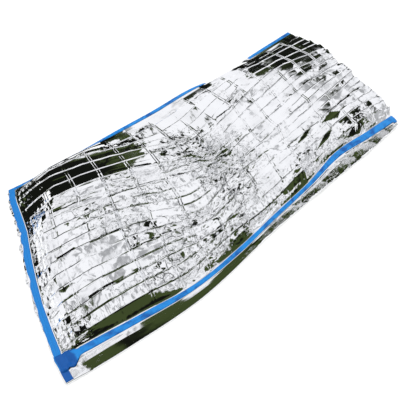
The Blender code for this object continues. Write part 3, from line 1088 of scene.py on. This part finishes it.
def upper_film(points, widths, lengths):
    """The base sheet plus its creases, pillows, facets, star and tucks."""
    x = points[:, :, 0]
    y = points[:, :, 1]
    at_sides = between(widths, *FREE_ROWS)
    free = ease((lengths - FREE_FROM_FOOT[0]) / FREE_FROM_FOOT[1])[None, :] * at_sides
    worn = worn_share(x, y, widths, lengths)
    crisp = smoothness(x, widths)
    small = cells_tilt(widths, lengths) + cells_puff(widths, lengths) + star(x, y)
    small += COARSE_SLOPE * facets((x + 0.35 * y) / 1.7, y, COARSE_FACET, 5)
    small += (0.12 + 0.68 * worn) * crossing_folds(x, y, *BROAD_FOLD, 500)
    small += (0.02 + 0.66 * worn**2) * crossing_folds(x, y, *CLOSE_FOLD, 600)
    small += FINE_SLOPE * worn * facets(x, y - 0.3 * x, FINE_FACET, 8)
    height = long_creases(widths, lengths) + cross_creases(widths, lengths) + crisp * small
    height += tucks(x, y) + tape_pleats(x, widths)
    made = points.copy()
    made[:, :, 2] += free * height + at_sides * foot_streaks(x, y, lengths)
    past_tape = ease((-0.75 - lengths) / 0.1)[None, :]
    on_ramp = between(lengths, *BESIDE_TAPE)[None, :] * ease((widths - 1.0) / 0.1)
    crinkle = np.maximum(free * crisp * worn, RAMP_CRINKLE * on_ramp * crisp)
    return uneven_ends(made, ROW_PLACES, lengths), crinkle + FLAP_CRINKLE * past_tape, crisp


top_points, top_crinkle, top_crisp = upper_film(base, WIDTHS, LENGTHS)
print("upper film's highest point", round(float(top_points[:, :, 2].max()), 4))

# %% [markdown]
# A grid of points becomes a mesh with one quad for each cell. Rows run near to far and columns
# foot to mouth, so the faces point up. The mesh keeps a map in metres of the flat film, which
# the material can follow, and some values at each point: how crinkled the film is there, the
# number of its fold cell, how its gap leans as a whole, and how steep its facet is.

# %% From grid to mesh
SHARP_FROM = 9.0
LAYER_CUT = (2.0, 1.0)
CRISP_CELLS = 0.6


def film_mesh(name, points, cut, **carried):
    """One quad for each cell of the grid, with its flat map and the values that it carries."""
    rows, columns = points.shape[:2]
    index = np.arange(rows * columns).reshape(rows, columns)
    corners = [index[:-1, :-1], index[:-1, 1:], index[1:, 1:], index[1:, :-1]]
    quads = np.stack(corners, axis=-1).reshape(-1, 4)
    mesh = bpy.data.meshes.new(name)
    mesh.from_pydata(to_frame(points).reshape(-1, 3), [], quads)
    mesh.shade_smooth()
    mesh.set_sharp_from_angle(angle=math.radians(SHARP_FROM))
    along = np.linspace(0, cut[0], columns)[None, :] + np.zeros((rows, 1))
    across = np.linspace(0, cut[1], rows)[:, None] + np.zeros((1, columns))
    flat = np.stack([along, across], axis=-1).reshape(-1, 2)[quads.ravel()]
    flat_map = mesh.uv_layers.new(name="flat_cut")
    flat_map.uv.foreach_set("vector", flat.ravel().astype(np.float32))
    for value in ("crinkle", "fold_cell", "lean", "steep"):
        numbers = np.zeros((rows, columns)) + carried.get(value, 0.0)
        kept = mesh.attributes.new(value, "FLOAT", "POINT")
        kept.data.foreach_set("value", numbers.ravel().astype(np.float32))
    return new_object(name, mesh)


def film_lean(x, widths):
    """How the far gaps lean as a whole: towards the foot on the left, the mouth in the middle."""
    far = ease((widths - 8.7) / 0.5)
    left = 1 - ease((x - 0.84) / 0.08)
    edge = ease((widths - 12.4) / 0.3) * ease((x - 1.12) / 0.1)
    return far * (left - between(x, 0.90, 0.08, 1.55, 0.15) * (1 - 1.4 * edge))


cell_number = 1 + np.floor(WIDTHS) + 20 * np.floor(cell_places(LENGTHS))[None, :]
top_steep = steep_facets(base[:, :, 0], base[:, :, 1])
upper = film_mesh(
    "upper_film",
    top_points,
    LAYER_CUT,
    crinkle=top_crinkle * (1 - 0.8 * top_steep),
    fold_cell=np.where(top_crisp > CRISP_CELLS, cell_number, 0),
    lean=film_lean(base[:, :, 0], WIDTHS),
    steep=top_steep,
)
print("upper film", len(upper.data.polygons) * 2, "triangles")

# %% [markdown]
# The lower layer lies flat on the floor. Along the near side it is wider than the upper one,
# so it turns up in a soft roll and comes back over to meet it at the seam. That roll is a
# profile carried along the length: round at the floor, a slope, then a nearly level strip.

# %% The lower film's near rim
# Stations along the rim, and how far out it lies there, both in millimetres.
RIM_STATIONS = [0, 80, 165, 295, 420, 580, 775, 915, 1075, 1210, 1475, 1725, 1880, 1990]
RIM_PLACES = [0, -14, -26, -41, -55, -65, -56, -42, -30, -25, -18, -15, -7, 0]
RIM_ENDS = (0.003, 0.003, 1.992)
RIM_SLOPE_SHARE = 0.62
RIM_SLOPE_WIDTH_MOST = 0.036
RIM_STEEPNESS = 1.05
RIM_NARROWEST = 0.012
RIM_FLAT_HEIGHT = 0.0102
RIM_BELOW_SEAM = 0.004
RIM_LEAN_MOST = 1.2
RIM_ARC_STEPS = 8
RIM_STEPS = 8
TAPED_STEPS = 3
FOLD_RADIUS = 0.005
SEAM_GAP = 0.0006
FLOOR_STEPS = 14
FLOOR_MOUTH_INSET = 0.012


def rim_profile(seam):
    """The rim's profile from floor to seam at every place: an arc, then three straight runs."""
    middle, flap, mouth = RIM_ENDS
    x = row_places(LENGTHS, middle, flap, mouth)
    places = smooth_curve(x, np.array(RIM_STATIONS) / 1000, RIM_PLACES) / 1000
    seam_y = seam[:, 1] - SEAM_GAP
    edge_y = seam_y - smooth_curve(within_stations(x), STATIONS, NEAR_TAPE_HALF)
    width = np.maximum(edge_y - places, RIM_NARROWEST)
    slope_width = np.minimum(RIM_SLOPE_SHARE * width, RIM_SLOPE_WIDTH_MOST)
    rise = ease((x - (middle + TAPE_HALF_WIDTH) - FOOT_RAMP_START) / FOOT_RAMP_LENGTH)
    full_height = np.minimum(RIM_STEEPNESS * slope_width, seam[:, 2] - RIM_BELOW_SEAM)
    top_z = RIM_FLAT_HEIGHT + (full_height - RIM_FLAT_HEIGHT) * rise
    reach_y = slope_width - FOLD_RADIUS
    reach_z = top_z - FOLD_RADIUS
    reach = np.maximum(np.hypot(reach_y, reach_z), FOLD_RADIUS * 1.02)
    slope = np.arctan2(reach_z, reach_y) - np.arcsin(FOLD_RADIUS / reach)
    first = 1.5 * math.pi
    last = math.pi / 2 + np.clip(slope, 0.0, RIM_LEAN_MOST)
    rows = []
    for angle in np.linspace(first + 0 * last, last, RIM_ARC_STEPS + 1):
        arc_y = places + FOLD_RADIUS * (1 + np.cos(angle))
        rows.append((arc_y, FOLD_RADIUS * (1 + np.sin(angle))))
    edge_z = seam[:, 2] - TAPE_SLOPE_RISE * rise
    runs = [
        (places + slope_width, top_z, RIM_STEPS),
        (edge_y, edge_z, RIM_STEPS),
        (seam_y, seam[:, 2], TAPED_STEPS),
    ]
    for to_y, to_z, steps in runs:
        from_y, from_z = rows[-1]
        for step in range(1, steps + 1):
            f = step / steps
            rows.append((from_y + (to_y - from_y) * f, from_z + (to_z - from_z) * f))
    points = np.zeros((len(rows), len(LENGTHS), 3))
    toward_seam = np.linspace(0, 1, len(rows))[:, None]
    points[:, :, 0] = x + (seam[:, 0] - x) * toward_seam**2
    points[:, :, 1] = [y for y, z in rows]
    points[:, :, 2] = [np.maximum(z, 0) for y, z in rows]
    return points


def floor_layer(far, near):
    """Straight from the far edge to the near roll, flat on the floor, shorter at the mouth."""
    f = 1 - (np.arange(FLOOR_STEPS) / FLOOR_STEPS)[:, None, None]
    rows = near * (1 - f) + far * f
    rows[:, :, 0] -= FLOOR_MOUTH_INSET * ease((LENGTHS - 0.9) / 0.1)
    rows[:, :, 2] = 0.0
    return rows


rim_points = rim_profile(base[0])
floor_points = floor_layer(top_points[-1], rim_points[0])
print("lower film", len(floor_points), "rows on the floor and", len(rim_points), "in the rim")

# %% [markdown]
# A sheet that folds in any direction is best moved along its own normals. The normals of a
# grid come from its two directions, crossed. The rim then gets its own creases and dents,
# held back where it meets the floor and where it meets the tape.

# %% Dents in the rim
RIM_COARSE = (0.26, 0.045)
RIM_FINE = (0.16, 0.014)
RIM_FREE = (0.22, 0.15, 0.86, 0.10)
RIM_CRUMPLED_FROM = 0.80
RIM_FOOT_DENTS = (0.35, 0.12, 0.10)
RIM_CRINKLE = 0.35
FLOOR_CRINKLE = 0.3


def grid_normals(points):
    """Directions at right angles to a grid, from its two directions crossed."""
    normals = np.cross(np.gradient(points, axis=1), np.gradient(points, axis=0))
    return normals / np.maximum(np.linalg.norm(normals, axis=2, keepdims=True), 1e-9)


def dent_rim(rim):
    """Moves the rim along its normals by two sizes of facets, most past its smooth first half."""
    x = rim[:, :, 0]
    y = rim[:, :, 1] * 1.3
    foot_dents, foot_place, foot_reach = RIM_FOOT_DENTS
    worn = 0.06 + 0.94 * ease((x - RIM_CRUMPLED_FROM) / 0.3)
    worn = np.maximum(worn, foot_dents * ridge(x - foot_place, foot_reach))
    free = between(np.linspace(0, 1, len(rim))[:, None], *RIM_FREE) * worn
    dents = RIM_COARSE[0] * facets(x / 1.6, y + x * 0.2, RIM_COARSE[1], 31)
    dents += RIM_FINE[0] * facets(x, y, RIM_FINE[1], 32)
    return rim + grid_normals(rim) * (free * dents)[:, :, None], RIM_CRINKLE * free


rim_dented, rim_crinkle = dent_rim(rim_points)
bottom_points = np.concatenate([floor_points, rim_dented])
bottom_points[:, :, 2] = np.maximum(bottom_points[:, :, 2], 0.0)
floor_crinkle = np.full(floor_points.shape[:2], FLOOR_CRINKLE)
bottom_crinkle = np.concatenate([floor_crinkle, rim_crinkle])
lower = film_mesh("lower_film", bottom_points, LAYER_CUT, crinkle=bottom_crinkle)
print("lower film", len(lower.data.polygons) * 2, "triangles")

# %% [markdown]
# The tapes are strips of blue plastic that lie on the film and follow it. Each is cut from the
# grid of points that it covers, lifted along the normals by about a millimetre, and given a
# thin wall. The near tape straddles the seam, so its grid joins the rim to the upper film. At
# the near foot corner it is bunched up in small folds and lies double.

# %% Tapes
TAPE_CUT = (2.0, 0.04)
TAPE_WALL = 0.0004
TAPE_RIPPLE = 0.0004
TAPE_STEPS = 8
SINGLE = 0.4
NEAR_LIFT = 0.0011
FOOT_LIFT = 0.0007
FAR_LIFT = 0.0008
UNDER_FILM = -0.0018
COVERED = (1.43, 0.03, 1.79, 0.03)
FAR_TAPE_INSET = 7
NARROW_PLACES = [0.35, 0.70, 1.30, 1.55]
NARROW_SHARES = [0.74, 0.80, 0.80, 1.0]
NEAR_TAPE_REACH = (-3, 4)
NEAR_TAPE_ROWS = 8
CORNER_FROM = 0.050
CORNER_OVER = 0.045
BUNCHED_OVER_FILM = 2.1
BUNCHED_OVER_RIM = 2.0
LOWEST_TAPE = 0.0002

outside = np.concatenate([rim_dented[RIM_ARC_STEPS:], top_points[1:]])
SEAM_ROW = len(rim_dented) - 1 - RIM_ARC_STEPS


def tape_strip(name, points, lift, doubled=SINGLE):
    """A strip lifted off its grid, with a wall that grows outward and small ripples along it."""
    ripple = TAPE_RIPPLE * wander(points[:, :, 0] + 0.4 * points[:, :, 1], 0.035, len(name))
    lifted = points + grid_normals(points) * (lift + np.maximum(ripple, 0))[:, :, None]
    lifted[:, :, 2] = np.maximum(lifted[:, :, 2], LOWEST_TAPE)
    made = film_mesh(name, lifted, TAPE_CUT, crinkle=doubled)
    wall = made.modifiers.new("wall", "SOLIDIFY")
    wall.thickness = TAPE_WALL
    wall.offset = 1.0
    return made


def foot_grid():
    """The points under the foot tape: each row evenly over the tape's width, which wanders."""
    inner = outside[:, FOOT_STEPS, 0]
    back = inner - outside[:, 0, 0]
    width = FOOT_TAPE_WIDTH * (1 + 0.12 * wander(outside[:, FOOT_STEPS, 1], 0.09, 92))
    share = (width / np.maximum(back, width))[:, None]
    place = FOOT_STEPS * (1 - share * (1 - np.linspace(0, 1, TAPE_STEPS + 1)[None, :]))
    first = np.clip(np.floor(place).astype(int), 0, FOOT_STEPS - 1)
    f = (place - first)[:, :, None]
    rows = np.arange(len(outside))[:, None]
    return outside[rows, first] * (1 - f) + outside[rows, first + 1] * f


def near_grid():
    """The points under the near tape, spread over the foot corner, turned down at the mouth."""
    columns = np.arange(2, outside.shape[1])
    x = outside[SEAM_ROW, columns, 0]
    narrow = np.interp(x, NARROW_PLACES, NARROW_SHARES) * (1 + 0.07 * wander(x, 0.07, 91))
    spread = 1 - ease((x - CORNER_FROM) / CORNER_OVER)
    turned = ease((x - (x.max() - 0.030)) / 0.012)
    bunched = BUNCHED_OVER_RIM * spread * (1 + 0.3 * wander(x, 0.02, 93))
    steps = np.linspace(*NEAR_TAPE_REACH, NEAR_TAPE_ROWS)[:, None]
    over_rim = narrow + 1.2 * turned + bunched
    place = SEAM_ROW + steps * np.where(steps > 0, narrow + BUNCHED_OVER_FILM * spread, over_rim)
    first = np.clip(np.floor(place).astype(int), 0, len(outside) - 2)
    f = (place - first)[:, :, None]
    points = outside[first, columns] * (1 - f) + outside[first + 1, columns] * f
    return points, spread[None, :] + 0 * place


near_points, spread = near_grid()
corner_folds = crossing_folds(near_points[:, :, 0], near_points[:, :, 1], 0.016, 1.0, 90)
near_lift = NEAR_LIFT + spread * (0.0012 + 0.0045 * np.abs(corner_folds))
near_tape = tape_strip("near_tape_strip", near_points, near_lift, SINGLE + 0.6 * spread)
foot_points = foot_grid()
at_corner = 1 - ease((foot_points[:, :, 1] - 0.03) / 0.05)
foot_tape = tape_strip("foot_tape_strip", foot_points, FOOT_LIFT, SINGLE + 0.5 * at_corner)
far_points = outside[len(outside) - 1 - GAP_ROWS + FAR_TAPE_INSET :, FOOT_STEPS - 2 :]
far_lift = FAR_LIFT + (UNDER_FILM - FAR_LIFT) * between(far_points[:, :, 0], *COVERED)
far_tape = tape_strip("far_tape_strip", far_points, far_lift)
print("tapes", [len(tape.data.polygons) for tape in (near_tape, foot_tape, far_tape)])

# %% [markdown]
# The film is a plain bright metal, a touch bluer than grey, and nearly a mirror. Real film is
# never quite even: handling leaves it hazy in places, and the crumpled parts carry crinkles
# smaller than any grid. So the finish adds flat facets of two sizes, thin grey crease lines of
# painted shade, which stand in for the dark room that crease flanks mirror, and a fine bump,
# and the crinkle value turns them up and down.

# %% Facets and painted crease shade for the finish
BROAD_FACET = (0.062, 33.0)
SMALL_FACET = (0.017, -38.0)
LONG_SHADE_LINES = (0.034, 24.0)
SHORT_SHADE_LINES = (0.015, -33.0)
SHADE_LINE_WIDTH = (0.02, 0.11)
# Painted shade: the grey of the crease lines stands in for the dark room that crease flanks
# mirror.
PAINTED_CREASE_SHADE = (0.16, 0.17, 0.165, 1.0)
LEAN = (-0.062, 0.031, 0.0)
STEEP = (-0.23, -0.96, 0.0)
CELL_TILT = 0.13


def film_cells(bench, flat, size, turn, kind):
    """A Voronoi pattern of cells twice as long as wide, turned on the flat film."""
    rotation = (0.0, 0.0, math.radians(turn))
    place = bench.mapped(flat, Rotation=rotation, Scale=(1.0 / size, 2.0 / size, 1.0))
    settings = {"voronoi_dimensions": "2D", "feature": kind}
    return bench.node("ShaderNodeTexVoronoi", settings, {"Vector": place, "Scale": 1.0}).outputs


def random_tilt(bench, chance, amount):
    """A random colour, less one half, as a tilt of a given amount."""
    centred = bench.vector("SUBTRACT", {0: chance, 1: (0.5, 0.5, 0.5)})
    return bench.vector("SCALE", {0: centred, "Scale": amount})


def shade_line_mask(bench, flat, size, turn):
    """1 on the edges of the pattern and 0 inside its cells: the narrow lines where crease shade
    is painted.
    """
    distance = film_cells(bench, flat, size, turn, "DISTANCE_TO_EDGE")["Distance"]
    return 1 - Level(bench, distance).held(*SHADE_LINE_WIDTH)


def painted_crease_shade_amount(bench, flat, crinkle):
    """Painted crease shade: lines of two sizes, gathered in patches, only where the film is
    crinkled.
    """
    lines = shade_line_mask(bench, flat, *LONG_SHADE_LINES) * 0.75
    lines = lines + shade_line_mask(bench, flat, *SHORT_SHADE_LINES) * 0.5
    gathered = bench.noise(flat, 38.0, 1.0).held(0.46, 0.60) * 0.92 + 0.08
    return (lines * gathered * crinkle.held(0.14, 0.60)).held(0.0, 1.0)


def tipped_normal(bench, flat, crinkle):
    """The mesh's normal, plus facets of two sizes, lean, steep facets and each cell's tilt."""
    squared = crinkle * crinkle
    broad = film_cells(bench, flat, *BROAD_FACET, "F1")["Color"]
    small = film_cells(bench, flat, *SMALL_FACET, "F1")["Color"]
    number = bench.carried("fold_cell")
    rounded = bench.node("ShaderNodeMath", {"operation": "ROUND"}, {0: number}).outputs[0]
    chance = bench.node("ShaderNodeTexWhiteNoise", {"noise_dimensions": "1D"}, {"W": rounded})
    total = bench.node("ShaderNodeNewGeometry").outputs["Normal"]
    for tip in (
        random_tilt(bench, broad, crinkle * 0.24 + squared * 0.26),
        random_tilt(bench, small, crinkle * 0.12 + squared * 0.58),
        bench.vector("SCALE", {0: LEAN, "Scale": bench.carried("lean")}),
        bench.vector("SCALE", {0: STEEP, "Scale": bench.carried("steep")}),
        random_tilt(bench, chance.outputs["Color"], number.held(0.2, 0.8) * CELL_TILT),
    ):
        total = bench.vector("ADD", {0: total, 1: tip})
    return bench.vector("NORMALIZE", {0: total})


print("facets of", BROAD_FACET[0] * 1000, "and", SMALL_FACET[0] * 1000, "mm")

# %% [markdown]
# The parts come together in one material. The lower film is the same metal, a little duller,
# because it has lain on the floor.

# %% The silver film's finish
SILVER = (0.925, 0.935, 0.955, 1.0)
SILVER_UNDER = (0.90, 0.91, 0.93, 1.0)
SILVER_HAZY = (0.84, 0.85, 0.87, 1.0)
HAZE = (9.0, 4.0)
HAZE_EDGE = (0.42, 0.72)
CRINKLE_HEIGHT = 0.0008
CRINKLE_CELLS = 95.0
CRINKLE_NOISE = (210.0, 2.0)


def film_finish(name, bright, low_gloss, high_gloss):
    """A mirror-like metal with hazy patches, painted crease shade, and crinkles of two sizes in
    the crumpled parts.
    """
    made, bench, sockets = new_finish(name, {"Metallic": 1.0})
    flat = bench.flat_map()
    crinkle = bench.carried("crinkle")
    hazy = bench.noise(flat, *HAZE).held(*HAZE_EDGE)
    metal = bench.blend(hazy, bright, SILVER_HAZY)
    # The base colour turns grey along the crease lines: painted shade, standing in for the dark
    # room that crease flanks mirror.
    crease_wear_and_shade = painted_crease_shade_amount(bench, flat, crinkle)
    bench.feed(sockets["Base Color"], bench.blend(crease_wear_and_shade, metal, PAINTED_CREASE_SHADE))
    bench.feed(sockets["Roughness"], hazy * (high_gloss - low_gloss) + low_gloss)
    cells = bench.node("ShaderNodeTexVoronoi", {}, {"Vector": flat, "Scale": CRINKLE_CELLS})
    height = Level(bench, cells.outputs["Distance"]) + bench.noise(flat, *CRINKLE_NOISE) * 0.6
    inputs = {"Height": height * crinkle, "Distance": CRINKLE_HEIGHT, "Strength": 1.0}
    inputs["Normal"] = tipped_normal(bench, flat, crinkle)
    bench.feed(sockets["Normal"], bench.bumped(inputs))
    return made


upper.data.materials.append(film_finish("silver_film", SILVER, 0.05, 0.11))
lower.data.materials.append(film_finish("silver_film_under", SILVER_UNDER, 0.07, 0.13))
print("film finishes", upper.data.materials[0].name, lower.data.materials[0].name)

# %% [markdown]
# The tape is blue plastic with a soft shine. Its colour is deeper where it lies double or was
# pulled tight, and fine stretch lines run along it.

# %% The blue tape's finish
BLUE = (0.010, 0.255, 0.730, 1.0)
BLUE_DEEP = (0.002, 0.095, 0.390, 1.0)
TAPE_PATCHES = (22.0, 3.0)
DEEP_EDGE = (0.42, 0.70)
STRETCH = (22.0, 420.0, 1.0)
STRETCH_HEIGHT = 0.0004
PATCH_SHIFT = 3.7


def tape_finish(name, shift):
    """Blue plastic in two depths, with stretch lines along it and a soft shine."""
    made, bench, sockets = new_finish(name, {"Specular IOR Level": 0.3})
    flat = bench.flat_map()
    patches = bench.noise(bench.mapped(flat, Location=(shift, 0.0, 0.0)), *TAPE_PATCHES)
    doubled = bench.carried("crinkle").held(0.5, 0.9)
    depth = (patches + doubled * 0.30).held(*DEEP_EDGE)
    bench.feed(sockets["Base Color"], bench.blend(depth, BLUE, BLUE_DEEP))
    bench.feed(sockets["Roughness"], depth * 0.12 + 0.30)
    lines = bench.noise(bench.mapped(flat, Scale=STRETCH), 1.0, 2.0)
    inputs = {"Height": lines, "Distance": STRETCH_HEIGHT, "Strength": 0.6}
    bench.feed(sockets["Normal"], bench.bumped(inputs))
    return made


TAPES = {"near_tape": near_tape, "foot_tape": foot_tape, "far_tape": far_tape}
for number, (node, tape) in enumerate(TAPES.items()):
    tape.data.materials.append(tape_finish(node + "_blue", PATCH_SHIFT * number))
print("tape finishes", [tape.data.materials[0].name for tape in TAPES.values()])

# %% [markdown]
# Last, each piece is tied to the imported model: it rides on the model's root, and the solid
# that it stands for is hidden. Both film layers were cut about two metres by one.

# %% Tie the pieces to the model
PAIRS = {"top_panel": upper, "bottom_panel": lower, **TAPES}
for node, piece in PAIRS.items():
    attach(piece, "root")
    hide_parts(node)
